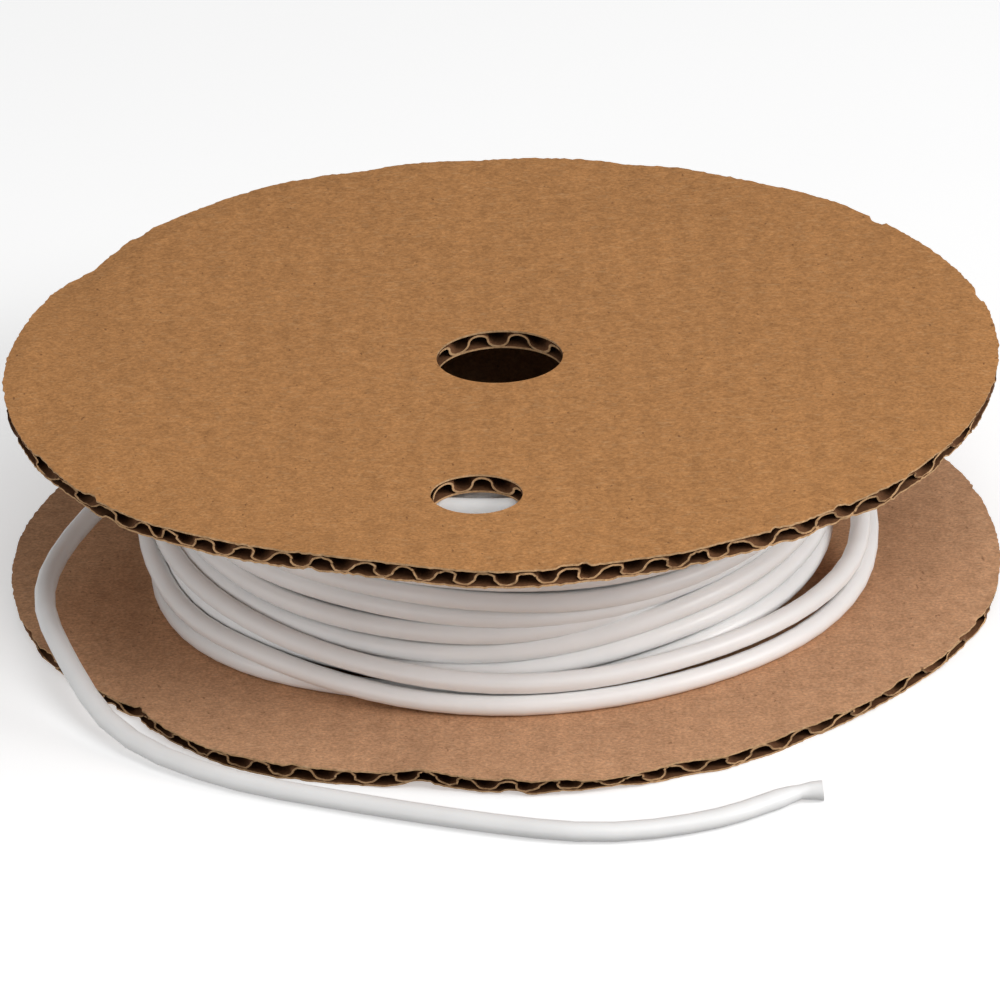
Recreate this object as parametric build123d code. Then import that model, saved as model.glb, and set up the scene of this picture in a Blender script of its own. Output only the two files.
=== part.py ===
from build123d import *
import math
import os

# A cardboard spool of hollow plastic tubing: two corrugated disc flanges, a paperboard core
# glued between them, and the tubing wound on the core with its loose end lying beside it.
# The lower flange is turned half round, so its drive hole is on the far side.
# Millimetres. The spool's axis is +Z and the origin is the middle of the lower flange's
# underside. The flutes of both flanges run along Y.

# ---- driving dimensions: flanges
flange_diameter = 200.0
spindle_bore_diameter = 25.5
drive_hole_diameter = 18.2
drive_hole_x = -5.4
drive_hole_y = -65.0

# ---- driving dimensions: corrugated board
liner_thickness = 0.3
medium_thickness = 0.25
flute_height = 3.3              # from liner to liner, over the corrugated medium
flute_pitch = 8.0
flute_flank_angle = 68.0        # slope of a flute's side, degrees
flute_bend_radius = 0.75        # at the middle of the medium's thickness
upper_flute_shift = -3.0        # where a crest stands along X
lower_flute_shift = 0.1

# ---- driving dimensions: core
traverse = 41.2                 # clear width between the flanges
core_diameter = 100.0
core_wall = 2.0
glue_bead_size = 3.0

# ---- driving dimensions: tubing and its winding
tubing_diameter = 4.1
tubing_wall = 0.5
bundle_diameter = 136.0         # the tight layers
loose_turns_diameter = 148.6    # the slack last turns, which lie low
loose_turns_height = 7.2
loose_turns_shoulder = 6.0      # height over which the loose turns close up on the tight ones

# ---- driving dimensions: tape that holds the tubing's inner end
tape_width = 18.0
tape_arc = 40.0                 # degrees round the core
tape_thickness = 0.12

# ---- clearances
winding_clearance = 0.3         # between the core and the first layer
table_clearance = 0.1           # under the loose end
cutter_margin = 1.0             # how far a cutting tool runs past what it cuts

# ---- derived sizes
board_thickness = flute_height + 2 * liner_thickness
overall_height = traverse + 2 * board_thickness
upper_board_z = board_thickness + traverse
core_radius = core_diameter / 2
core_inner_radius = core_radius - core_wall
winding_inner_radius = core_radius + winding_clearance
table_z = tubing_diameter / 2 + table_clearance

# ---- the loose end's route, from the winding to the cut end
tail_route = [
    (-49.0, 45.2, 21.5),
    (-64.5, 30.5, 20.5),
    (-78.5, 14.5, 16.0),
    (-90.0, -5.0, 12.0),
    (-94.0, -27.0, 11.0),
    (-88.5, -53.0, 10.8),
    (-79.0, -74.0, 3.4),
    (-58.5, -92.5, table_z),
    (-33.0, -104.5, table_z),
    (-8.0, -115.0, table_z),
    (16.0, -122.8, table_z),
    (38.0, -118.5, table_z),
    (50.5, -110.3, table_z),
    (61.3, -106.8, table_z),
]


def ring(outer_radius, inner_radius, bottom, height):
    """A flat ring or short tube on the spool's axis."""
    section = Circle(outer_radius) - Circle(inner_radius)
    return extrude(Pos(0, 0, bottom) * section, height)


def die_cut(sheet, bottom, height, turned):
    """The sheet cut to a flange's outline: the disc, the spindle bore and the drive hole.

    Both flanges are the same cut; turned says that this one is turned half round.
    """
    low = bottom - cutter_margin
    tall = height + 2 * cutter_margin
    blank = extrude(Pos(0, 0, low) * Circle(flange_diameter / 2), tall)
    bore = extrude(Pos(0, 0, low) * Circle(spindle_bore_diameter / 2), tall)
    side = -1 if turned else 1
    drive_place = Pos(side * drive_hole_x, side * drive_hole_y, low)
    drive_hole = extrude(drive_place * Circle(drive_hole_diameter / 2), tall)
    return (sheet & blank) - bore - drive_hole


def liner(bottom, turned=False):
    """One flat face sheet of a corrugated board."""
    side = flange_diameter + 2 * cutter_margin
    sheet = extrude(Pos(0, 0, bottom) * Rectangle(side, side), liner_thickness)
    return die_cut(sheet, bottom, liner_thickness, turned)


def medium_side(shift, offset):
    """One side of the corrugated medium's section, offset from its middle line."""
    middle_height = (flute_height - medium_thickness) / 2
    flank = math.radians(flute_flank_angle)
    flank_run = 2 * middle_height / math.tan(flank)
    flat_half = (flute_pitch / 2 - flank_run) / 2
    widening = offset * math.tan(flank / 2)
    waves = math.ceil(flange_diameter / flute_pitch / 2) + 2
    points = []
    radii = []
    for half_wave in range(-2 * waves, 2 * waves + 1):
        crest = 1 if half_wave % 2 == 0 else -1
        middle_x = shift + half_wave * flute_pitch / 2
        half = flat_half + crest * widening
        z = crest * middle_height + offset
        points += [(middle_x - half, z), (middle_x + half, z)]
        radii += [flute_bend_radius + crest * offset] * 2
    return FilletPolyline(*points, radius=radii[1:-1])


def fluting(bottom, shift, turned=False):
    """The corrugated medium of one board, between its two liners."""
    over = medium_side(shift, medium_thickness / 2)
    under = medium_side(shift, -medium_thickness / 2)
    ends = [Line(over @ 0, under @ 0), Line(over @ 1, under @ 1)]
    section = make_face(over.edges() + under.edges() + [end.edge() for end in ends])
    middle = Pos(0, 0, bottom + flute_height / 2)
    length = flange_diameter / 2 + cutter_margin
    sheet = middle * extrude(Plane.XZ * section, length, both=True)
    return die_cut(sheet, bottom, flute_height, turned)


def glue_bead(board_face, direction):
    """A fillet of hot-melt glue inside the core's end, against a flange.

    board_face is the flange's inner face, and direction is +1 where the core rises from it.
    """
    foot = (core_inner_radius - glue_bead_size, board_face)
    corner = (core_inner_radius, board_face)
    head = (core_inner_radius, board_face + direction * glue_bead_size)
    section = make_face(Polyline(foot, corner, head, close=True).edges())
    return revolve(Plane.XZ * section, Axis.Z)


def start_tape():
    """A strip of tape on the core, at mid width, over the tubing's inner end."""
    bottom = board_thickness + (traverse - tape_width) / 2
    band = ring(core_radius + tape_thickness, core_radius, bottom, tape_width)
    reach = core_diameter
    half = math.radians(tape_arc / 2)
    side = (-reach * math.cos(half), reach * math.sin(half))
    other = (side[0], -side[1])
    wedge_face = make_face(Polyline((0, 0), side, other, close=True).edges())
    wedge = extrude(Pos(0, 0, bottom) * wedge_face, tape_width)
    return band & wedge


def wound_tubing():
    """The winding's outer shape: tight layers, with the slack last turns round their foot."""
    bottom = board_thickness
    shoulder = bottom + loose_turns_height
    profile = Polyline(
        (winding_inner_radius, bottom),
        (loose_turns_diameter / 2, bottom),
        (loose_turns_diameter / 2, shoulder),
        (bundle_diameter / 2, shoulder + loose_turns_shoulder),
        (bundle_diameter / 2, upper_board_z),
        (winding_inner_radius, upper_board_z),
        close=True,
    )
    return revolve(Plane.XZ * make_face(profile.edges()), Axis.Z)


def bend_radii(route):
    """The largest tangent arc that each corner's two runs leave room for."""
    radii = []
    for before, corner, after in zip(route, route[1:], route[2:]):
        run_in = Vector(*corner) - Vector(*before)
        run_out = Vector(*after) - Vector(*corner)
        half_turn = math.radians(run_in.get_angle(run_out)) / 2
        shorter = min(run_in.length, run_out.length)
        radii.append(0.45 * shorter / math.tan(half_turn))
    return radii


def tubing_tail():
    """The tubing's loose end, hollow, along its route."""
    radii = bend_radii(tail_route)
    path = FilletPolyline(*tail_route, radius=radii)
    outer = Circle(tubing_diameter / 2)
    bore = Circle(tubing_diameter / 2 - tubing_wall)
    start = Plane(path @ 0, z_dir=path % 0)
    tube = sweep(start * (outer - bore), path=path)
    area = (outer - bore).area
    print("tail bend radii", [round(radius, 1) for radius in radii])
    print("tail length", round(path.length, 1), "section x length", round(area * path.length, 1))
    print("tail volume", round(tube.volume, 1))
    return tube


pieces = {
    "lower_flange_outer_liner": liner(0, turned=True),
    "lower_flange_fluting": fluting(liner_thickness, lower_flute_shift, turned=True),
    "lower_flange_inner_liner": liner(board_thickness - liner_thickness, turned=True),
    "upper_flange_inner_liner": liner(upper_board_z),
    "upper_flange_fluting": fluting(upper_board_z + liner_thickness, upper_flute_shift),
    "upper_flange_outer_liner": liner(overall_height - liner_thickness),
    "core_tube": ring(core_radius, core_inner_radius, board_thickness, traverse),
    "lower_glue_bead": glue_bead(board_thickness, 1),
    "upper_glue_bead": glue_bead(upper_board_z, -1),
    "start_tape": start_tape(),
    "wound_tubing": wound_tubing(),
    "tubing_tail": tubing_tail(),
}

os.makedirs("parts", exist_ok=True)
for name, shape in pieces.items():
    export_step(shape, f"parts/{name}.step")
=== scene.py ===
# %% [markdown]
# # A cardboard spool of plastic tubing
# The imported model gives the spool's sizes and its place: two corrugated discs, a paperboard
# core between them, and about nineteen metres of thin tubing. This notebook dresses that
# model: it winds the tubing turn by turn, builds both boards from their papers, and gives
# each piece its finish.

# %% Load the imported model
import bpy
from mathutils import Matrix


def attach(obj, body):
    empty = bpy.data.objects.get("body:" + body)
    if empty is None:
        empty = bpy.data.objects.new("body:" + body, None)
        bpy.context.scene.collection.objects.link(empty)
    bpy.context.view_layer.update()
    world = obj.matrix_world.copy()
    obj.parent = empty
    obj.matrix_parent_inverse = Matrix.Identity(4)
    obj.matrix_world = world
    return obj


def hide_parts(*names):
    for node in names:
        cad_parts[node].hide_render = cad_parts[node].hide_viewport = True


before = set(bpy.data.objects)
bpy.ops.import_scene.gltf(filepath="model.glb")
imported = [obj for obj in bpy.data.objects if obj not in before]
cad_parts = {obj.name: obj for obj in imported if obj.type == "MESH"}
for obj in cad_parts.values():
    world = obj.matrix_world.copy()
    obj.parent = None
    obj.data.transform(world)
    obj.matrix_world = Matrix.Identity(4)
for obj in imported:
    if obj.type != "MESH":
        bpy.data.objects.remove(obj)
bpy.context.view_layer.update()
print("nodes", sorted(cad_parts))

# %% Tools
import math
import random

import bmesh
import bpy
from mathutils import Matrix, Vector

MM = 0.001                      # the spool's sizes are in millimetres, and become metres last

# %% [markdown]
# ## Camera
# The spool is seen from a little above, from far away, so its circles hardly change with
# distance. A long lens gives that. The camera's three axes are worked out from its height
# angle and from the small turn about its own line of sight.

# %% Camera
scene = bpy.context.scene
view_height_angle = math.radians(25.101)
view_roll = math.radians(-1.791)
view_distance = 2.5
view_target = Vector((-0.000846, 0.0, 0.017113))

backwards = Vector((0, -math.cos(view_height_angle), math.sin(view_height_angle)))
level_right = Vector((1, 0, 0))
level_up = backwards.cross(level_right)
camera_right = level_right * math.cos(view_roll) + level_up * math.sin(view_roll)
camera_up = level_up * math.cos(view_roll) - level_right * math.sin(view_roll)

camera_data = bpy.data.cameras.new("camera")
camera_data.lens = 444.6
camera_data.sensor_width = 36
camera_data.clip_end = 50
camera = bpy.data.objects.new("camera", camera_data)
scene.collection.objects.link(camera)
axes = Matrix((camera_right, camera_up, backwards)).transposed()
place = Matrix.Translation(view_target + backwards * view_distance)
camera.matrix_world = place @ axes.to_4x4()
scene.camera = camera
print("camera stands at", tuple(round(v, 3) for v in camera.location))

# %% [markdown]
# ## The winding
# Tubing is wound from a core in layers, as thread is on a bobbin. A turn lies flat for most
# of its way round and steps over to the next row at the back, so that each layer's turns
# nest in the hollows of the layer below. The last turns were wound by hand and are slack:
# their height and distance from the axis are given at angles round the spool, counted from
# +X towards +Y, so 270 degrees faces the camera. Nothing here keeps two turns apart: where
# rows step over at the back or sink into the layer below, the drawn tubes run into each
# other, by up to their whole thickness.

# %% Sizes of the tubing and its layers
tubing_diameter = 4.1
tubing_wall = 0.5
first_row = 5.95                # height of the lowest row of a full layer
last_row = 43.05
rows_in_full_layer = 10
row_step = (last_row - first_row) / (rows_in_full_layer - 1)
first_layer_radius = 52.15
layer_step = 3.55
turn_start = 120                # degrees; a turn is counted from here
step_over = 420                 # where a turn leaves its row for the next one

# %% Stations of the hidden layers
# The tubing starts at the tape, half way up the core. Its first turn climbs to the top row
# straight through rows that come later, deep inside, where nothing shows it.
stations = [(180, first_layer_radius, 24.5)]        # angle, distance from the axis, height
turn = 1


def lay_turn(stops):
    """Adds one turn's stations, given at its own angles from 120 to 480 degrees."""
    global turn
    for angle, radius, height in stops:
        stations.append((angle + 360 * turn, radius, height))
    turn += 1


flat_side = 345                 # the layers were pressed flatter towards this angle
flat_share = 0.13
flat_spread = 38                # degrees
core_radius = 50.1


def pressed(angle, radius):
    """A layer's distance from the axis, less on the winding's flat side."""
    away = (angle - flat_side + 180) % 360 - 180
    return radius - (radius - core_radius) * flat_share * math.exp(-(away / flat_spread) ** 2)


for layer in range(4):
    full = layer % 2 == 0
    heights = [first_row + row_step * i for i in range(rows_in_full_layer)]
    if not full:
        heights = [h + row_step / 2 for h in heights[:-1]]
    if full:
        heights.reverse()
    for height in heights:
        radius = first_layer_radius + layer_step * layer
        stops = range(turn_start, step_over + 1, 25)
        lay_turn([(angle, pressed(angle, radius), height) for angle in stops])
print("hidden layers", turn - 1, "turns")

# %% Stations of the outer layer, from its top row down
lay_turn([(120, 66.4, 43.0), (270, 66.4, 43.0), (345, 64.6, 43.0), (420, 66.4, 43.0)])
lay_turn([(120, 66.4, 38.9), (200, 66.5, 39.3), (270, 66.9, 39.0), (345, 64.5, 39.2),
          (420, 66.4, 38.8)])
lay_turn([(120, 66.4, 34.9), (200, 66.4, 35.6), (270, 67.4, 35.3), (345, 64.3, 35.2),
          (420, 66.4, 34.6)])
lay_turn([(120, 66.4, 32.0), (200, 66.4, 33.4), (250, 67.5, 32.4), (268, 68.3, 31.4),
          (290, 67.8, 30.2), (310, 66.2, 30.0), (325, 65.0, 30.8), (345, 64.3, 31.2),
          (420, 66.2, 30.6)])
lay_turn([(120, 66.4, 28.2), (200, 66.4, 29.6), (227, 66.8, 29.2), (253, 67.8, 28.1),
          (269, 68.0, 26.7), (286, 67.6, 25.2), (300, 66.6, 25.2), (318, 65.4, 25.9),
          (335, 64.4, 26.8), (350, 64.2, 27.2), (420, 66.2, 26.4)])
lay_turn([(120, 66.4, 24.4), (205, 66.4, 26.0), (222, 66.6, 25.3), (235, 66.6, 25.0),
          (253, 66.8, 23.7), (269, 66.8, 22.5), (283, 66.2, 22.0), (296, 65.0, 22.6),
          (315, 63.4, 23.0), (340, 62.6, 23.6), (420, 66.0, 22.4)])
lay_turn([(120, 66.4, 20.6), (205, 66.4, 22.2), (222, 66.9, 20.9), (235, 67.2, 20.2),
          (253, 67.0, 19.4), (269, 66.9, 19.0), (280, 66.2, 19.8), (294, 64.2, 20.9),
          (310, 61.4, 20.0), (340, 61.2, 19.4), (420, 65.8, 18.4)])
lay_turn([(120, 66.4, 16.8), (205, 66.3, 18.0), (218, 66.2, 16.6), (235, 66.3, 15.5),
          (246, 66.6, 14.9), (259, 66.6, 14.6), (268, 66.5, 14.8), (283, 66.6, 16.4),
          (294, 66.8, 18.6), (305, 66.4, 19.3), (315, 65.6, 19.8), (325, 65.0, 20.2),
          (340, 64.4, 20.8), (352, 64.2, 20.4), (420, 66.4, 14.8)])
lay_turn([(120, 66.4, 12.6), (185, 67.4, 14.4), (193, 68.3, 13.9), (200, 68.8, 13.1),
          (210, 69.0, 12.2), (225, 68.2, 11.5), (240, 67.4, 10.9), (262, 66.8, 10.8),
          (275, 66.6, 11.1), (282, 66.4, 12.1),
          (290, 66.8, 13.7), (299, 66.8, 14.8), (312, 66.0, 15.2), (321, 65.5, 15.6),
          (335, 64.5, 15.8), (350, 64.2, 15.4), (420, 66.4, 10.0)])

# %% Stations of the slack last turns
lay_turn([(120, 68.4, 7.0), (160, 69.4, 6.2), (188, 69.9, 6.0), (195, 71.0, 6.0),
          (203, 71.9, 6.0), (212, 72.5, 6.0), (220, 72.5, 6.0), (230, 71.0, 6.0), (240, 68.8, 6.0),
          (252, 67.6, 6.0), (270, 67.0, 6.6), (285, 66.4, 7.8), (299, 66.9, 10.0),
          (312, 66.5, 11.0), (321, 66.1, 11.4), (338, 64.6, 11.4), (355, 64.2, 10.6),
          (400, 67.4, 10.8), (440, 68.4, 14.4)])
lay_turn([(120, 69.4, 16.8), (155, 69.6, 17.4), (180, 69.8, 17.9), (193, 69.9, 17.6),
          (205, 70.0, 16.6), (221, 70.0, 15.1), (238, 70.3, 13.2), (252, 70.6, 11.6),
          (265, 71.1, 10.4), (277, 71.4, 10.05), (290, 71.1, 10.1), (304, 70.5, 10.4),
          (317, 70.9, 10.3), (330, 71.8, 10.4), (340, 72.6, 10.8), (347, 72.9, 11.7),
          (355, 72.3, 14.0), (370, 70.9, 16.6), (395, 70.0, 17.4), (418, 70.0, 17.2),
          (430, 72.6, 16.4), (440, 75.0, 15.2), (455, 74.2, 13.6)])
lay_turn([(120, 72.8, 13.4), (155, 72.8, 14.4), (175, 72.6, 15.0), (185, 72.1, 14.0),
          (193, 72.1, 12.5), (200, 72.3, 11.4), (207, 72.7, 10.4), (213, 72.6, 9.9),
          (219, 72.1, 9.7), (226, 71.7, 9.5), (234, 71.6, 8.9), (242, 71.4, 7.8),
          (254, 71.4, 6.4), (266, 72.1, 6.0), (279, 72.6, 6.0),
          (292, 72.3, 6.0), (305, 72.4, 6.0), (318, 73.0, 6.0), (331, 73.4, 6.0),
          (341, 73.8, 6.4), (349, 74.1, 8.0), (357, 73.8, 11.0), (370, 73.0, 12.9),
          (395, 72.4, 13.4), (418, 72.2, 13.6), (430, 71.2, 14.6), (442, 71.0, 16.8),
          (460, 70.6, 19.0), (478, 70.2, 20.6)])
last_angle = 478 + 360 * (turn - 1)
print("turns in all", turn - 1)

# %% [markdown]
# ## The loose end
# The tubing's loose end leaves the winding at the back left, comes forward over the lower
# disc's rim, drops to the table and lies along the front of the spool. Its points follow
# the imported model's route, and they lie outside the curve's bends, as a curve's control
# points do. It cuts the corner where it leaves, and lies inside an outer turn for a few
# centimetres at the back.

# %% Route of the loose end
loose_end = [
    (-52.5, 46.2, 21.2),
    (-65.5, 30.5, 20.5),
    (-78.5, 14.5, 16.0),
    (-90.0, -5.0, 12.0),
    (-94.0, -27.0, 11.0),
    (-88.5, -53.0, 10.8),
    (-79.0, -74.0, 3.4),
    (-58.5, -92.5, 2.15),
    (-33.0, -104.5, 2.15),
    (-8.0, -115.0, 2.15),
    (16.0, -122.8, 2.15),
    (38.0, -118.5, 2.15),
    (50.8, -109.9, 2.15),
    (56.9, -105.6, 2.15),
    (60.4, -106.3, 2.15),
]

# %% Control points, every fifteen degrees of the winding and then the loose end
point_step = 15
# A curve of order three runs inside the points of a turn, at this share of their distance.
pull_in = (6 + 2 * math.cos(math.radians(point_step))) / 8


def between(stops, angle):
    """Distance and height at an angle, eased along the stations as a bent tube runs."""
    for i in range(len(stops) - 1):
        if stops[i][0] <= angle <= stops[i + 1][0]:
            break
    before, a = stops[max(i - 1, 0)], stops[i]
    b, after = stops[i + 1], stops[min(i + 2, len(stops) - 1)]
    span = b[0] - a[0]
    t = (angle - a[0]) / span
    values = []
    for k in (1, 2):
        slope_a = (b[k] - before[k]) / max(b[0] - before[0], 1)
        slope_b = (after[k] - a[k]) / max(after[0] - a[0], 1)
        if abs(b[k] - a[k]) < 1e-6:
            slope_a = slope_b = 0
        values.append(
            a[k] * (1 + 2 * t) * (1 - t) ** 2
            + b[k] * t * t * (3 - 2 * t)
            + span * slope_a * t * (1 - t) ** 2
            - span * slope_b * t * t * (1 - t)
        )
    return values


control_points = []
window = 0
angle = stations[0][0]
while angle <= last_angle:
    while window < len(stations) - 2 and stations[window + 1][0] < angle:
        window += 1
    first = max(window - 1, 0)
    radius, height = between(stations[first:window + 4], angle)
    turned = math.radians(angle)
    control_points.append((
        radius / pull_in * math.cos(turned), radius / pull_in * math.sin(turned), height))
    angle += point_step
control_points += loose_end
print("control points", len(control_points))

# %% [markdown]
# A smooth NURBS curve of order three runs near those points. Read as a line, it is the
# tubing's middle; given a round section, it is the tubing's skin.

# %% The tubing's curve
tube_sides_level = 5            # the section gets four corners and two more for each level
curve = bpy.data.curves.new("tubing_line", "CURVE")
curve.dimensions = "3D"
curve.resolution_u = 3
spline = curve.splines.new("NURBS")
spline.points.add(len(control_points) - 1)
for point, (x, y, z) in zip(spline.points, control_points):
    point.co = (x * MM, y * MM, z * MM, 1)
spline.order_u = 3
spline.use_endpoint_u = True
line_object = bpy.data.objects.new("tubing_line", curve)
scene.collection.objects.link(line_object)

depsgraph = bpy.context.evaluated_depsgraph_get()
line_mesh = bpy.data.meshes.new_from_object(line_object.evaluated_get(depsgraph))
path = [v.co.copy() for v in line_mesh.vertices]

curve.bevel_depth = tubing_diameter / 2 * MM
curve.bevel_resolution = tube_sides_level
depsgraph.update()
depsgraph = bpy.context.evaluated_depsgraph_get()
skin_mesh = bpy.data.meshes.new_from_object(line_object.evaluated_get(depsgraph))
sides = len(skin_mesh.vertices) // len(path)
print("skin points", len(skin_mesh.vertices), "sides", sides)
bpy.data.objects.remove(line_object)

# %% [markdown]
# The loose end is a little flattened where it lies, and its last centimetre was pinched and
# cut: it narrows, then opens again at the cut. The bore is drawn in from the cut's edge, as
# deep as anyone could look into it.

# %% Flatten, pinch and open the tubing's end
pinch_shape = [(0.0, 1.06, 0.98), (1.0, 1.0, 0.95), (4.4, 0.70, 0.72), (6.6, 0.84, 0.86),
               (10.0, 1.03, 0.97), (16.0, 1.06, 0.95), (60.0, 1.06, 0.95), (230.0, 1.03, 0.99),
               (300.0, 1.0, 1.0)]         # distance from the cut, breadth, height
bore_depth = 14.0
shaped_length = 300             # the tubing is round further than this from the cut
cut_slant = (0.12, -0.05)       # how the cut leans, per millimetre of breadth and of height


def read_table(table, where):
    """A row of a table of sizes, eased between its entries."""
    if where <= table[0][0]:
        return table[0][1:]
    for a, b in zip(table, table[1:]):
        if where <= b[0]:
            t = (where - a[0]) / (b[0] - a[0])
            t = t * t * (3 - 2 * t)
            return [p + (q - p) * t for p, q in zip(a[1:], b[1:])]
    return table[-1][1:]


from_cut = [0.0] * len(path)
for i in range(len(path) - 2, -1, -1):
    from_cut[i] = from_cut[i + 1] + (path[i + 1] - path[i]).length / MM

tube = bmesh.new()
tube.from_mesh(skin_mesh)
tube.verts.ensure_lookup_table()
frames = {}
for i in range(len(path) - 1, -1, -1):
    if from_cut[i] > shaped_length:
        break
    along = (path[min(i + 1, len(path) - 1)] - path[max(i - 1, 0)]).normalized()
    across = along.cross(Vector((0, 0, 1))).normalized()
    rise = across.cross(along)
    frames[i] = (along, across, rise)
    breadth, tallness = read_table(pinch_shape, from_cut[i])
    for v in tube.verts[i * sides:(i + 1) * sides]:
        offset = v.co - path[i]
        flat = offset.dot(across) * breadth
        up = offset.dot(rise) * tallness
        v.co = path[i] + across * flat + rise * up
        if from_cut[i] < 1:
            v.co += along * (flat * cut_slant[0] + up * cut_slant[1])

last_ring = (len(path) - 1) * sides
rim = [e for e in tube.edges if e.is_boundary and all(v.index >= last_ring for v in e.verts)]
middle = sum((v.co for v in tube.verts[-sides:]), Vector()) / sides
along = frames[len(path) - 1][0]
inner_share = 1 - 2 * tubing_wall / tubing_diameter


def extrude_rim(bm, edges):
    """Extrudes a rim where it stands, and gives back its new points and its new edges."""
    grown = bmesh.ops.extrude_edge_only(bm, edges=edges)["geom"]
    verts = [g for g in grown if isinstance(g, bmesh.types.BMVert)]
    return verts, [g for g in grown if isinstance(g, bmesh.types.BMEdge) and g.is_boundary]


ring_verts, inner_edges = extrude_rim(tube, rim)
for v in ring_verts:
    v.co = middle + (v.co - middle) * inner_share
deeper = len(path) - 2
while from_cut[deeper] < bore_depth:
    moved, inner_edges = extrude_rim(tube, inner_edges)
    breadth, tallness = read_table(pinch_shape, from_cut[deeper])
    old_b, old_t = read_table(pinch_shape, from_cut[deeper + 1])
    along, across, rise = frames[deeper]
    for v in moved:
        offset = v.co - path[deeper + 1]
        flat, up = offset.dot(across), offset.dot(rise)
        v.co = path[deeper] + across * flat * breadth / old_b + rise * up * tallness / old_t
    deeper -= 1
bmesh.ops.contextual_create(tube, geom=inner_edges)
start_rim = [e for e in tube.edges if e.is_boundary]
bmesh.ops.contextual_create(tube, geom=start_rim)
bmesh.ops.recalc_face_normals(tube, faces=tube.faces)
print("open edges left on the tubing", sum(e.is_boundary for e in tube.edges))
print("faces of the tubing", len(tube.faces))

tubing_mesh = bpy.data.meshes.new("wound_tube")
tube.to_mesh(tubing_mesh)
tube.free()
tubing_mesh.shade_smooth()
tubing_mesh.set_sharp_from_angle(angle=math.radians(50))
wound_tube = bpy.data.objects.new("wound_tube", tubing_mesh)
scene.collection.objects.link(wound_tube)
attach(wound_tube, "root")
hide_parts("wound_tubing", "tubing_tail")

# %% [markdown]
# ## The corrugated discs
# Each disc is single-wall board: two flat papers with a wavy one glued between them, four
# millimetres in all. Every paper of a disc goes through one settling step at the end, which
# bends, dents and crushes the board, so the papers stay together as glued board does.

# %% Sizes of the discs
disc_radius = 100.0
bore_radius = 12.75
drive_hole_radius = 9.1
drive_hole_place = (-5.4, -65.0)        # in the upper disc; the lower one is turned half round
liner_thickness = 0.4
medium_thickness = 0.40
flute_height = 3.1
board_thickness = flute_height + 2 * liner_thickness
upper_disc_z = 45.1


def smooth_step(low, high, value):
    """0 below low, 1 above high, and eased between."""
    t = min(max((value - low) / (high - low), 0.0), 1.0)
    return t * t * (3 - 2 * t)


# %% How the discs are bent
# An outline says how far the rim lies outside the circle at an angle round the disc.
# A dent is x, y, its reach along x and along y, and how high it lifts the board.
# A crush is x, y, its reach, and the share of the board's thickness that is left.
upper_outline = [
    (3, 0.4), (20, 0.45), (38, 0.55), (45, 1.0), (51, 0.5), (57, -0.45), (63, -0.5),
    (67, -0.2), (72, -0.9), (77, -0.1), (85, 0.0), (92, -0.5), (96, 0.1), (101, 0.45),
    (106, -0.35), (111, 0.7), (117, 1.2), (122, 0.9), (128, 0.2), (134, -0.15), (139, -0.8),
    (144, -2.0), (147.6, -2.6), (150, -1.7), (152.5, -0.6), (156, -0.5), (160, -1.0),
    (166, -1.1), (171, -0.8), (177, -0.2), (184, 0.2), (220, 0.3), (240, -0.3), (256, -0.4),
    (268, 0.3), (285, 0.0), (291, 0.4), (296, -0.3), (304, 0.4), (311, 0.0), (317, 0.9),
    (330, 0.3), (347, 0.2),
]
upper_dents = [
    (-34, -104, 22, 30, 1.35), (-88, 38, 7, 26, -0.9), (-94, 22, 5, 20, 0.5),
    (-74, -62, 14, 14, -0.9), (-92, -30, 10, 26, -0.7), (26, 94, 5, 22, -0.35),
    (0, -104, 12, 20, -0.3),
]
upper_crushes = [(-82, -56, 15, 0.92), (-97, -20, 12, 0.80), (90, -42, 13, 0.86),
                 (97, -18, 9, 0.8), (-86, 50, 9, 0.8)]
lower_outline = [
    (5, -0.1), (20, 0.2), (60, -0.3), (90, 0.5), (120, -0.4), (150, 0.3), (168, 0.6),
    (178, 0.35), (190, 0.0), (200, -0.5), (208, -1.5), (215, -2.2), (220, -2.6),
    (224, -1.0), (228, 0.4), (236, 1.5), (243, 1.4), (248, 0.2), (253, -0.6), (258, -0.9),
    (263, -0.8), (268, 0.6), (273, 2.1), (279, 2.4), (284, 2.1), (290, 0.9), (294, 1.8),
    (299, 0.8), (306, -0.4), (315, -0.6), (322, -0.9), (331, 0.0), (346, 0.7), (354, 0.2),
]
lower_dents = [(-18, -100, 5, 10, 1.3), (9, -96, 3, 26, 0.35), (-70, -72, 9, 9, 0.5),
               (0, -101, 48, 9, 0.35)]
lower_crushes = [(-93, -38, 12, 0.80), (-70, -72, 9, 0.88), (76, -66, 13, 0.92),
                 (19, -98, 6, 0.82), (90, -44, 10, 0.92), (-12, -101, 22, 0.92)]

# A pinch table says, at angles round the disc, how much of its thickness the rim has lost.
upper_pinches = [
    (0, 0.22), (10, 0.05), (40, 0.12), (70, 0.0), (110, 0.1), (150, 0.30), (186, 0.22),
    (192, 0.06), (198, 0.18), (204, 0.06), (212, 0.16), (219, 0.0), (226, 0.12), (236, 0.0),
    (305, 0.0), (312, 0.14), (317, 0.0), (322, 0.20), (327, 0.02), (333, 0.20), (339, 0.08),
    (346, 0.26),
]
lower_pinches = [
    (0, 0.20), (20, 0.05), (90, 0.10), (150, 0.0), (195, 0.30), (204, 0.08), (216, 0.24),
    (223, 0.02), (232, 0.14), (240, 0.0), (272, 0.06), (281, 0.30), (287, 0.0), (296, 0.10),
    (303, 0.0), (311, 0.12), (316, 0.18), (321, 0.0), (328, 0.16), (336, 0.0), (346, 0.16),
]


def around(outline, angle):
    """Reads an outline at an angle, all the way round."""
    first, last = outline[0], outline[-1]
    table = [(last[0] - 360, last[1])] + outline + [(first[0] + 360, first[1])]
    return read_table(table, angle % 360)[0]


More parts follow.
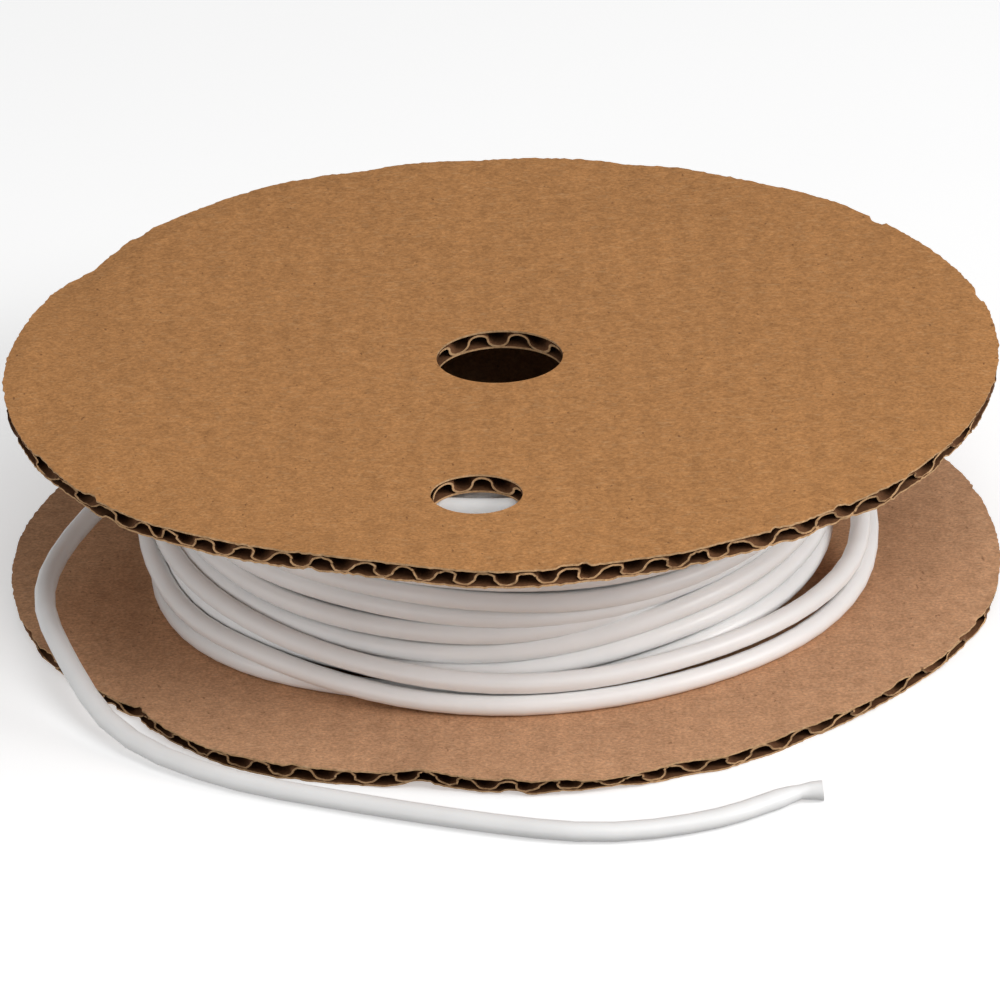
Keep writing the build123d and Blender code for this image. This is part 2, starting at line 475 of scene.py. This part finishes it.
bend_start = 60                 # the outline's bumps fade out towards this distance from the axis
pinch_start = 94.5              # and the rim's pinches towards this one
least_height = 0.02             # the lower disc's underside stays just above the floor


def settle(point, bottom, outline, dents, crushes, pinches):
    """Where a point of the flat, true board lies on the used one."""
    x, y, z = point
    radius = math.hypot(x, y)
    if radius > bend_start:
        share = smooth_step(bend_start, disc_radius, radius)
        grow = 1 + around(outline, math.degrees(math.atan2(y, x))) * share / radius
        x, y = x * grow, y * grow
    left = 1.0
    for cx, cy, reach, kept in crushes:
        fade = math.exp(-((x - cx) ** 2 + (y - cy) ** 2) / reach ** 2)
        left -= (1 - kept) * fade
    lift = 0.0
    for cx, cy, reach_x, reach_y, height in dents:
        lift += height * math.exp(-((x - cx) / reach_x) ** 2 - ((y - cy) / reach_y) ** 2)
    pinch = around(pinches, math.degrees(math.atan2(y, x)))
    left *= 1 - pinch * smooth_step(pinch_start, disc_radius, radius)
    middle = bottom + board_thickness / 2
    return x, y, max(middle + (z - middle) * left + lift, least_height if bottom == 0 else 0)


print("outline of the upper disc at the back left", round(around(upper_outline, 147), 2), "mm")

# %% [markdown]
# ### Flat papers
# A liner starts as a ring of edges round the bore, extruded outwards ring by ring until it
# reaches the rim, and is then given its thickness. The drive hole is cut with a Boolean
# while the sheet is still flat, because the cut is cleanest there. The rim is nicked and
# curled last, by seeded random draws, as die-cut paper is after some handling.

# %% Shared steps for paper pieces


def object_from(bm, name):
    """A new object from a bmesh in millimetres."""
    mesh = bpy.data.meshes.new(name)
    bm.to_mesh(mesh)
    bm.free()
    made = bpy.data.objects.new(name, mesh)
    scene.collection.objects.link(made)
    return made


def hole_cutter(name, radius, x, y):
    """A round cutter long enough to pass through both discs."""
    bm = bmesh.new()
    bmesh.ops.create_cone(bm, cap_ends=True, segments=96, radius1=radius, radius2=radius, depth=120)
    bmesh.ops.translate(bm, verts=bm.verts, vec=(x, y, 24))
    cutter = object_from(bm, name)
    cutter.hide_render = True
    return cutter


def cut_with(piece, cutters):
    """Cuts each cutter's shape out of the piece, for good."""
    for cutter in cutters:
        step = piece.modifiers.new("cut", "BOOLEAN")
        step.operation = "DIFFERENCE"
        step.solver = "EXACT"
        step.object = cutter
    graph = bpy.context.evaluated_depsgraph_get()
    cut = bpy.data.meshes.new_from_object(piece.evaluated_get(graph))
    piece.modifiers.clear()
    piece.data = cut


def finish_paper(piece, move, node, sharp=35):
    """Settles a piece's points, turns it into metres and hands it to the frame."""
    bm = bmesh.new()
    bm.from_mesh(piece.data)
    bmesh.ops.remove_doubles(bm, verts=bm.verts, dist=0.0005)
    for v in bm.verts:
        v.co = Vector(move(v.co))
    bmesh.ops.scale(bm, vec=(MM, MM, MM), verts=bm.verts)
    bm.to_mesh(piece.data)
    open_edges = sum(e.is_boundary for e in bm.edges)
    bm.free()
    piece.data.shade_smooth()
    piece.data.set_sharp_from_angle(angle=math.radians(sharp))
    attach(piece, "root")
    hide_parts(node)
    print(piece.name, "faces", len(piece.data.polygons), "open edges", open_edges)


bore_cutter = hole_cutter("bore_cutter", bore_radius, 0, 0)
upper_drive_cutter = hole_cutter("upper_drive_cutter", drive_hole_radius, *drive_hole_place)
turned_place = [-v for v in drive_hole_place]
lower_drive_cutter = hole_cutter("lower_drive_cutter", drive_hole_radius, *turned_place)
upper_holes = [bore_cutter, upper_drive_cutter]
lower_holes = [bore_cutter, lower_drive_cutter]

# %% One liner
rim_segments = 720
liner_rings = 30
ring_crowding = 1.25            # above one, the rings lie closer together towards the rim
tears = 26                      # torn places on the rim of a much handled paper
cut_edge_depth = 0.5            # points this near the rim belong to the cut edge
cut_back_start = 90             # a rim that is cut back is drawn in from this distance outwards


def liner(name, bottom, node, holes, bends, cut_back, ragged, seed):
    """A flat paper of a disc, with its two holes, settled on the board's bends.

    cut_back is how far the paper's rim lies inside the other one's, in millimetres, and
    ragged is how torn that rim is: 1 is a much handled one.
    """
    bm = bmesh.new()
    bmesh.ops.create_circle(bm, segments=rim_segments, radius=bore_radius)
    edges = bm.edges[:]
    radius = bore_radius
    for i in range(1, liner_rings + 1):
        share = i / liner_rings
        wanted = bore_radius + (disc_radius - bore_radius) * (1 - (1 - share) ** ring_crowding)
        verts, edges = extrude_rim(bm, edges)
        grow = wanted / radius
        bmesh.ops.scale(bm, vec=(grow, grow, 1), verts=verts)
        radius = wanted
    bmesh.ops.recalc_face_normals(bm, faces=bm.faces)
    if bm.faces[0].normal.z < 0:
        bmesh.ops.reverse_faces(bm, faces=bm.faces)
    bmesh.ops.solidify(bm, geom=bm.faces[:], thickness=liner_thickness)
    lowest = min(v.co.z for v in bm.verts)
    bmesh.ops.translate(bm, verts=bm.verts, vec=(0, 0, bottom - lowest))
    piece = object_from(bm, name)
    cut_with(piece, holes[1:])
    rng = random.Random(seed)
    nicks = [rng.gauss(0, 0.09) for _ in range(rim_segments)]
    curls = [rng.gauss(0, 0.07 * ragged) for _ in range(rim_segments)]
    for _ in range(int(tears * ragged)):
        start, width = rng.randrange(rim_segments), rng.randint(2, 6)
        depth, curl = rng.uniform(0.2, 0.7), rng.uniform(-0.4, 0.4)
        for i in range(width):
            nicks[(start + i) % rim_segments] -= depth * math.sin(math.pi * (i + 1) / (width + 1))
            curls[(start + i) % rim_segments] += curl

    def move(co):
        radius = math.hypot(co.x, co.y)
        x, y, z = co
        if radius > disc_radius - cut_edge_depth:      # nicked, and curled where it is torn
            place = math.degrees(math.atan2(y, x)) % 360 / 360 * rim_segments
            i, t = int(place) % rim_segments, place % 1
            nick = nicks[i] * (1 - t) + nicks[(i + 1) % rim_segments] * t
            z += curls[i] * (1 - t) + curls[(i + 1) % rim_segments] * t
            x, y = x * (1 + nick / radius), y * (1 + nick / radius)
        back = cut_back * smooth_step(cut_back_start, disc_radius, radius)
        x, y = x * (1 - back / radius), y * (1 - back / radius)
        return settle((x, y, z), *bends)

    finish_paper(piece, move, node)
    return piece


upper_bends = (upper_disc_z, upper_outline, upper_dents, upper_crushes, upper_pinches)
lower_bends = (0.0, lower_outline, lower_dents, lower_crushes, lower_pinches)
upper_top_z = upper_disc_z + board_thickness - liner_thickness
lower_top_z = board_thickness - liner_thickness
upper_top_paper = liner("upper_top_paper", upper_top_z, "upper_flange_outer_liner",
                        upper_holes, upper_bends, 0.0, 0.7, 1)
upper_under_paper = liner("upper_under_paper", upper_disc_z, "upper_flange_inner_liner",
                          upper_holes, upper_bends, 0.3, 1.4, 2)
lower_top_paper = liner("lower_top_paper", lower_top_z, "lower_flange_inner_liner",
                        lower_holes, lower_bends, 0.0, 0.9, 3)
lower_under_paper = liner("lower_under_paper", 0.0, "lower_flange_outer_liner",
                          lower_holes, lower_bends, 1.0, 0.6, 4)

# %% [markdown]
# ### Fluted paper
# The wavy paper between the liners starts as a grid. Its columns are laid along the wave,
# and each column runs from the rim's front to its back, so the sheet already has the disc's
# outline. Real flutes stand steeply, lean a little and differ from each other, most of all
# at the cut rim, where the knife has pushed them over.

# %% Where the flutes' crests touch the upper paper
upper_crests = [-70.2, -66.0, -59.0, -51.3, -43.9, -36.2, -27.6, -20.0, -11.9, -4.3, 3.9, 12.1,
                20.2, 29.3, 37.3, 45.4, 54.8]
lower_crests = [-16.9, -9.2, -1.1, 6.7, 14.9, 23.1, 31.2, 39.3, 48.6, 56.9, 66.4, 73.1]
flute_pitch = 8.0


def all_crests(known):
    """Carries a row of crests on to both edges of the disc at the board's own pitch."""
    crests = list(known)
    while crests[0] > -disc_radius - flute_pitch:
        crests.insert(0, crests[0] - flute_pitch)
    while crests[-1] < disc_radius + flute_pitch:
        crests.append(crests[-1] + flute_pitch)
    return crests


columns_per_flute = 18
flute_rows = 22
clear_of_sides = 1.2            # the wavy paper stops short of the disc's far left and right
clear_of_rim = 0.15             # and this short of the rim all round
frayed_from = 0.97              # share of a flute's run from which its end is frayed
pushed_over = 0.34              # how far the knife has pushed the crests over, at the cut rim


def fluting(name, bottom, known_crests, crest_share, slant, node, holes, bends, seed):
    """The wavy paper of a disc.

    crest_share is the part of a flute's width that its crest takes, the rest being its
    trough, and slant is how far the troughs' ends lie inside the crests', in millimetres.
    """
    rng = random.Random(seed)
    crests = all_crests(known_crests)
    flutes = len(crests) - 1
    fall = [[rng.uniform(-0.1, 0.45) for _ in range(flutes)] for _ in range(2)]
    climb = [[rng.uniform(-0.4, 0.2) for _ in range(flutes)] for _ in range(2)]
    lean = [[rng.gauss(0, pushed_over) for _ in range(flutes + 1)] for _ in range(2)]
    short = [[abs(rng.gauss(0, 0.30)) for _ in range(flutes + 1)] for _ in range(2)]
    columns = flutes * columns_per_flute
    bm = bmesh.new()
    bmesh.ops.create_grid(bm, x_segments=columns, y_segments=flute_rows, size=0.5)
    rise = (flute_height - medium_thickness) / 2
    middle = bottom + flute_height / 2
    doomed = []
    for v in bm.verts:
        u = (v.co.x + 0.5) * flutes
        flute = min(int(u + 1e-6), flutes - 1)
        t = u - flute
        end = 0 if v.co.y < 0 else 1
        run = abs(v.co.y) * 2
        run = 1 - (1 - run) ** 2
        blend = t * t * (3 - 2 * t)
        near_end = smooth_step(0.85, 1.0, run)
        curl = (fall if t < 0.5 else climb)[end][flute] * (0.3 + 0.7 * near_end)
        tip = lean[end][flute] * (1 - blend) + lean[end][flute + 1] * blend
        tip *= 0.25 + 0.75 * near_end
        pitch = crests[flute + 1] - crests[flute]
        swing = math.sin(2 * math.pi * t)
        crest_reach, trough_reach = pitch * crest_share / 2, pitch * (1 - crest_share) / 2
        if 0.25 < t < 0.75:
            x = crests[flute] + pitch / 2 - trough_reach * swing
        else:
            x = crests[flute] + crest_reach * swing + (pitch if t >= 0.75 else 0)
        x += curl * pitch * math.sin(4 * math.pi * t) / (4 * math.pi)
        wave = math.cos(2 * math.pi * t)
        x += tip * wave
        back = short[end][flute] * (1 - blend) + short[end][flute + 1] * blend
        if abs(x) > disc_radius - clear_of_sides:
            doomed.append(v)
            continue
        back += slant * (1 - wave) / 2
        half = max(math.sqrt(disc_radius ** 2 - x * x) - clear_of_rim - back, 0.5)
        if run > frayed_from:
            x += rng.gauss(0, 0.07)
            half += rng.gauss(0, 0.16)
            wave *= 1 - abs(rng.gauss(0, 0.02))
        v.co = ((x, math.copysign(run * half, v.co.y), middle + wave * rise))
    bmesh.ops.delete(bm, geom=doomed, context="VERTS")
    bmesh.ops.recalc_face_normals(bm, faces=bm.faces)
    bmesh.ops.solidify(bm, geom=bm.faces[:], thickness=medium_thickness)
    for v in bm.verts:
        out = math.hypot(v.co.x, v.co.y) / (disc_radius - 0.1)
        if out > 1:
            v.co.x, v.co.y = v.co.x / out, v.co.y / out
        v.co.z = min(max(v.co.z, bottom - 0.2), bottom + flute_height + 0.2)
    lift = middle - (max(v.co.z for v in bm.verts) + min(v.co.z for v in bm.verts)) / 2
    bmesh.ops.translate(bm, verts=bm.verts, vec=(0, 0, lift))
    piece = object_from(bm, name)
    cut_with(piece, holes)
    finish_paper(piece, lambda co: settle(co, *bends), node, sharp=60)
    return piece


upper_fluted_paper = fluting("upper_fluted_paper", upper_disc_z + liner_thickness,
                             upper_crests, 0.54, 0.3, "upper_flange_fluting",
                             upper_holes, upper_bends, 11)
lower_fluted_paper = fluting("lower_fluted_paper", liner_thickness,
                             lower_crests, 0.50, 1.0, "lower_flange_fluting",
                             lower_holes, lower_bends, 12)
for cutter in (bore_cutter, upper_drive_cutter, lower_drive_cutter):
    bpy.data.objects.remove(cutter)

# %% [markdown]
# ## Finishes
# Kraft paper is a mat of brown fibres that mostly lie along the way the paper ran through
# the mill, here across the flutes. Its colour is a middle brown with a slow cloudiness, a fine
# mottle, faint bands of painted shade for the washboard where the flutes lie below, and
# scattered light and dark fibres.

# %% Node helpers


def new_material(name):
    """A new material, with its nodes, its links and its shader."""
    material = bpy.data.materials.new(name)
    material.use_nodes = True
    nodes = material.node_tree.nodes
    return material, nodes, material.node_tree.links, nodes["Principled BSDF"]


def linear(r, g, b):
    """A colour given in everyday 0 to 255 values, in the linear values that shaders use."""
    return [(v / 255 / 12.92 if v / 255 <= 0.04045 else ((v / 255 + 0.055) / 1.055) ** 2.4)
            for v in (r, g, b)] + [1.0]


def add(nodes, kind, **values):
    """Adds a node and sets its properties and inputs by name."""
    node = nodes.new(kind)
    for key, value in values.items():
        if key in node.inputs:
            node.inputs[key].default_value = value
        else:
            setattr(node, key, value)
    return node


def stretched_noise(nodes, links, stretch, detail=3.0, rough=0.55, turn=0.0):
    """Noise in the piece's own place, with its own size along each axis."""
    place = add(nodes, "ShaderNodeTexCoord")
    mapping = add(nodes, "ShaderNodeMapping")
    mapping.inputs["Scale"].default_value = stretch
    mapping.inputs["Rotation"].default_value = (0, 0, turn)
    noise = add(nodes, "ShaderNodeTexNoise")
    noise.inputs["Scale"].default_value = 1.0
    noise.inputs["Detail"].default_value = detail
    noise.inputs["Roughness"].default_value = rough
    links.new(place.outputs["Object"], mapping.inputs["Vector"])
    links.new(mapping.outputs["Vector"], noise.inputs["Vector"])
    return noise


def ramp(nodes, links, source, stops):
    """A colour ramp fed by a value."""
    node = add(nodes, "ShaderNodeValToRGB")
    elements = node.color_ramp.elements
    elements[0].position, elements[0].color = stops[0]
    elements[1].position, elements[1].color = stops[-1]
    for position, colour in stops[1:-1]:
        element = elements.new(position)
        element.color = colour
    links.new(source, node.inputs["Fac"])
    return node


def mix(nodes, links, factor, a, b, blend="MIX"):
    """A colour mix; factor, a and b may be values or sockets."""
    node = nodes.new("ShaderNodeMix")
    node.data_type = "RGBA"
    node.blend_type = blend
    for socket, value in ((node.inputs[0], factor), (node.inputs[6], a), (node.inputs[7], b)):
        if isinstance(value, bpy.types.NodeSocket):
            links.new(value, socket)
        else:
            socket.default_value = value
    return node.outputs[2]


# %% Kraft paper


def kraft(name, base, fibre_light, fibre_dark, cloud, flecks, roughness=0.86):
    """Brown paper: clouds, mottle, faint painted shade of a washboard over the flutes, and
    scattered fibres.
    """
    material, nodes, links, shader = new_material(name)
    clouds = stretched_noise(nodes, links, (30, 24, 30), detail=5, rough=0.62)
    mottle = stretched_noise(nodes, links, (330, 300, 330), detail=5, rough=0.70)
    grain = stretched_noise(nodes, links, (1500, 1500, 1500), detail=3, rough=0.65)
    long_fibres = stretched_noise(nodes, links, (600, 1500, 1500), detail=1, rough=0.4, turn=0.3)
    cross_fibres = stretched_noise(nodes, links, (1000, 520, 900), detail=1, rough=0.4, turn=0.7)
    cloudy = ramp(nodes, links, clouds.outputs["Fac"],
                  [(0.32, [c * (1 - cloud) for c in base[:3]] + [1]),
                   (0.68, [c * (1 + cloud) for c in base[:3]] + [1])])
    mottle_shade = ramp(nodes, links, mottle.outputs["Fac"],
                        [(0.28, (0.84, 0.83, 0.81, 1)), (0.50, (1, 1, 1, 1)),
                         (0.72, (1.15, 1.16, 1.19, 1))])
    colour = mix(nodes, links, 1.0, cloudy.outputs["Color"], mottle_shade.outputs["Color"],
                 "MULTIPLY")
    grain_shade = ramp(nodes, links, grain.outputs["Fac"],
                       [(0.30, (0.74, 0.73, 0.72, 1)), (0.70, (1.25, 1.26, 1.28, 1))])
    colour = mix(nodes, links, 1.0, colour, grain_shade.outputs["Color"], "MULTIPLY")
    # Painted shade: faint darker and lighter bands at the flute pitch stand in for the shading of
    # the board's washboard ripple.
    place = add(nodes, "ShaderNodeTexCoord")
    apart = add(nodes, "ShaderNodeSeparateXYZ")
    links.new(place.outputs["Object"], apart.inputs[0])
    phase = add(nodes, "ShaderNodeMath", operation="MULTIPLY")
    phase.inputs[1].default_value = 2 * math.pi / (flute_pitch * MM)
    links.new(apart.outputs["X"], phase.inputs[0])
    painted_washboard_wave = add(nodes, "ShaderNodeMath", operation="SINE")
    links.new(phase.outputs[0], painted_washboard_wave.inputs[0])
    washboard_painted_shade = add(nodes, "ShaderNodeMapRange")
    for socket, value in (("From Min", -1), ("From Max", 1), ("To Min", 0.975), ("To Max", 1.02)):
        washboard_painted_shade.inputs[socket].default_value = value
    links.new(painted_washboard_wave.outputs[0], washboard_painted_shade.inputs["Value"])
    colour = mix(nodes, links, 1.0, colour, washboard_painted_shade.outputs["Result"], "MULTIPLY")
    light = ramp(nodes, links, long_fibres.outputs["Fac"],
                 [(0.56, (0, 0, 0, 1)), (0.80, (flecks / 2, flecks / 2, flecks / 2, 1))])
    colour = mix(nodes, links, light.outputs["Color"], colour, fibre_light)
    dark = ramp(nodes, links, cross_fibres.outputs["Fac"],
                [(0.72, (0, 0, 0, 1)), (0.80, (flecks, flecks, flecks, 1))])
    colour = mix(nodes, links, dark.outputs["Color"], colour, fibre_dark)
    links.new(colour, shader.inputs["Base Color"])
    shader.inputs["Roughness"].default_value = roughness
    shader.inputs["Specular IOR Level"].default_value = 0.25
    bump = add(nodes, "ShaderNodeBump")
    bump.inputs["Strength"].default_value = 0.35
    bump.inputs["Distance"].default_value = 0.00012
    links.new(mottle.outputs["Fac"], bump.inputs["Height"])
    links.new(bump.outputs["Normal"], shader.inputs["Normal"])
    return material


outer_kraft = kraft("outer_kraft", linear(187, 132, 80), linear(216, 172, 124),
                    linear(98, 62, 36), 0.035, 0.6)
inner_kraft = kraft("inner_kraft", linear(193, 147, 110), linear(221, 184, 150),
                    linear(118, 82, 56), 0.06, 0.6)
# The wavy paper's own brown, made darker than the liners as painted shade for the flute channels.
painted_flute_shade_kraft = kraft("painted_flute_shade_kraft", linear(110, 73, 46), linear(140, 102, 70),
                     linear(72, 46, 29), 0.14, 0.6)
cut_edge_kraft = kraft("cut_edge_kraft", linear(192, 152, 110), linear(220, 190, 152),
                       linear(120, 84, 52), 0.20, 0.9)
print("paper finishes made")

# %% Paint the papers


def paint_paper(piece, face_material, edge_material, edge_is):
    """Face material everywhere, and the cut-edge material where edge_is says so."""
    piece.data.materials.clear()
    piece.data.materials.append(face_material)
    piece.data.materials.append(edge_material)
    count = 0
    for polygon in piece.data.polygons:
        if edge_is(polygon):
            polygon.material_index = 1
            count += 1
    print(piece.name, "cut-edge faces", count)


def liner_edge(polygon):
    return abs(polygon.normal.z) < 0.5


def paint_flute_shade_on_liner(piece, up):
    """Paints the dark flute paper, as painted shade, on the side of a liner that faces the flutes.
    """
    for polygon in piece.data.polygons:
        if polygon.normal.z * up > 0.5:
            polygon.material_index = 2


def fluting_edge(polygon):
    return abs(polygon.normal.y) > 0.35


for piece, face_material in ((upper_top_paper, outer_kraft), (upper_under_paper, inner_kraft),
                             (lower_top_paper, inner_kraft), (lower_under_paper, outer_kraft)):
    paint_paper(piece, face_material, cut_edge_kraft, liner_edge)
for piece in (upper_fluted_paper, lower_fluted_paper):
    paint_paper(piece, painted_flute_shade_kraft, cut_edge_kraft, fluting_edge)
# Painted shade: the liners' sides inside the flutes get the dark flute paper, which liner paper
# does not have.
for piece, up in ((upper_top_paper, -1), (upper_under_paper, 1),
                  (lower_top_paper, -1), (lower_under_paper, 1)):
    piece.data.materials.append(painted_flute_shade_kraft)
    paint_flute_shade_on_liner(piece, up)

# %% [markdown]
# The tubing is soft white plastic with a dull shine. Its skin is even, with only faint
# waves in the shine that come from drawing it.

# %% White tubing
white_plastic, nodes, links, shader = new_material("white_plastic")
shade = stretched_noise(nodes, links, (60, 60, 60), detail=3)
tint = ramp(nodes, links, shade.outputs["Fac"],
            [(0.35, linear(239, 238, 237)), (0.65, linear(244, 243, 242))])
links.new(tint.outputs["Color"], shader.inputs["Base Color"])
dullness = stretched_noise(nodes, links, (350, 350, 350), detail=2)
dull_ramp = add(nodes, "ShaderNodeMapRange")
dull_ramp.inputs["To Min"].default_value = 0.34
dull_ramp.inputs["To Max"].default_value = 0.46
links.new(dullness.outputs["Fac"], dull_ramp.inputs["Value"])
links.new(dull_ramp.outputs["Result"], shader.inputs["Roughness"])
shader.inputs["Subsurface Weight"].default_value = 0.12
shader.inputs["Subsurface Radius"].default_value = (0.002, 0.0018, 0.0016)
shader.inputs["Subsurface Scale"].default_value = 1.0
wound_tube.data.materials.clear()
wound_tube.data.materials.append(white_plastic)

# %% [markdown]
# The core is a spirally wound paper tube, so one dark seam climbs round it. The beads that
# hold the discs are amber hot-melt glue, lumpy and a little see-through. The tape at the
# tubing's first end is cream crepe paper.

# %% Core, glue and tape
seam_pitch = 75.0               # how far the seam climbs in one turn
core_board = kraft("core_board", linear(150, 122, 92), linear(186, 160, 128),
                   linear(96, 76, 56), 0.10, 0.7)
nodes, links = core_board.node_tree.nodes, core_board.node_tree.links
shader = nodes["Principled BSDF"]
paper_colour = shader.inputs["Base Color"].links[0].from_socket
place = add(nodes, "ShaderNodeTexCoord")
apart = add(nodes, "ShaderNodeSeparateXYZ")
links.new(place.outputs["Object"], apart.inputs[0])
round_angle = add(nodes, "ShaderNodeMath", operation="ARCTAN2")
links.new(apart.outputs["Y"], round_angle.inputs[0])
links.new(apart.outputs["X"], round_angle.inputs[1])
share_round = add(nodes, "ShaderNodeMath", operation="MULTIPLY")
share_round.inputs[1].default_value = 1 / (2 * math.pi)
links.new(round_angle.outputs[0], share_round.inputs[0])
seam_place = add(nodes, "ShaderNodeMath", operation="MULTIPLY_ADD")
seam_place.inputs[1].default_value = 1 / (seam_pitch * MM)
links.new(apart.outputs["Z"], seam_place.inputs[0])
links.new(share_round.outputs[0], seam_place.inputs[2])
seam_share = add(nodes, "ShaderNodeMath", operation="FRACT")
links.new(seam_place.outputs[0], seam_share.inputs[0])
seam = ramp(nodes, links, seam_share.outputs[0],
            [(0.0, (0.45, 0.42, 0.40, 1)), (0.012, (0.45, 0.42, 0.40, 1)), (0.02, (1, 1, 1, 1))])
seamed = mix(nodes, links, 1.0, paper_colour, seam.outputs["Color"], "MULTIPLY")
links.new(seamed, shader.inputs["Base Color"])

hot_melt, nodes, links, shader = new_material("hot_melt")
lumps = stretched_noise(nodes, links, (120, 120, 120), detail=3)
amber = ramp(nodes, links, lumps.outputs["Fac"],
             [(0.35, linear(196, 164, 104)), (0.65, linear(224, 200, 150))])
links.new(amber.outputs["Color"], shader.inputs["Base Color"])
shader.inputs["Roughness"].default_value = 0.30
shader.inputs["Subsurface Weight"].default_value = 0.3
shader.inputs["Subsurface Radius"].default_value = (0.003, 0.002, 0.001)
shader.inputs["Subsurface Scale"].default_value = 1.0
glue_bump = add(nodes, "ShaderNodeBump")
glue_bump.inputs["Strength"].default_value = 0.6
glue_bump.inputs["Distance"].default_value = 0.0004
links.new(lumps.outputs["Fac"], glue_bump.inputs["Height"])
links.new(glue_bump.outputs["Normal"], shader.inputs["Normal"])

crepe_tape, nodes, links, shader = new_material("crepe_tape")
crepe = stretched_noise(nodes, links, (300, 300, 1400), detail=3)
cream = ramp(nodes, links, crepe.outputs["Fac"],
             [(0.30, linear(206, 188, 142)), (0.70, linear(232, 218, 176))])
links.new(cream.outputs["Color"], shader.inputs["Base Color"])
shader.inputs["Roughness"].default_value = 0.7
crepe_bump = add(nodes, "ShaderNodeBump")
crepe_bump.inputs["Strength"].default_value = 0.5
crepe_bump.inputs["Distance"].default_value = 0.0001
links.new(crepe.outputs["Fac"], crepe_bump.inputs["Height"])
links.new(crepe_bump.outputs["Normal"], shader.inputs["Normal"])

for name, finish in (("core_tube", core_board), ("lower_glue_bead", hot_melt),
                     ("upper_glue_bead", hot_melt), ("start_tape", crepe_tape)):
    node_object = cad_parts[name]
    node_object.data.materials.clear()
    node_object.data.materials.append(finish)
print("core, glue and tape finished")

# %% [markdown]
# ## Light and floor
# A plain pale floor and soft studio light: a large soft lamp from the front right and one
# high above it, a strong one from the right, and two low ones from the left, in a pale
# room. The floor throws no light back, so white tubing keeps its shape against it.

# %% Floor
bm = bmesh.new()
bmesh.ops.create_grid(bm, x_segments=1, y_segments=1, size=3.0)
floor = object_from(bm, "floor")
floor_material, nodes, links, shader = new_material("floor_paint")
shader.inputs["Base Color"].default_value = (0.80, 0.80, 0.80, 1)
shader.inputs["Roughness"].default_value = 0.9
shader.inputs["Specular IOR Level"].default_value = 0.1
shader.inputs["Emission Color"].default_value = (1, 1, 1, 1)
shader.inputs["Emission Strength"].default_value = 0.42
floor.data.materials.append(floor_material)
floor.visible_diffuse = False   # it takes shadows, but throws no light back

# %% Lamps and room
world = bpy.data.worlds.new("room")
scene.world = world
world.use_nodes = True
world.node_tree.nodes["Background"].inputs["Color"].default_value = (1, 1, 1, 1)
world.node_tree.nodes["Background"].inputs["Strength"].default_value = 0.24


def soft_lamp(name, place, aim, size, power):
    """A square area lamp that faces a point."""
    data = bpy.data.lights.new(name, "AREA")
    data.shape = "SQUARE"
    data.size = size
    data.energy = power
    lamp = bpy.data.objects.new(name, data)
    scene.collection.objects.link(lamp)
    lamp.location = place
    lamp.rotation_mode = "QUATERNION"
    lamp.rotation_quaternion = (Vector(aim) - Vector(place)).to_track_quat("-Z", "Y")
    return lamp


soft_lamp("key_lamp", (0.44, -0.94, 0.94), (0, 0, 0.02), 0.6, 3.8)
soft_lamp("high_lamp", (0.22, -0.62, 1.24), (0, 0, 0.02), 0.8, 3.5)
soft_lamp("right_lamp", (1.19, -0.43, 0.59), (0, 0, 0.02), 0.6, 11.0)
soft_lamp("left_lamp", (-0.96, -1.37, 0.32), (0, 0, 0.02), 0.7, 4.6)
soft_lamp("far_left_lamp", (-1.31, -0.35, 0.34), (0, 0, 0.02), 0.6, 2.2)
scene.view_settings.view_transform = "Standard"
scene.view_settings.look = "None"
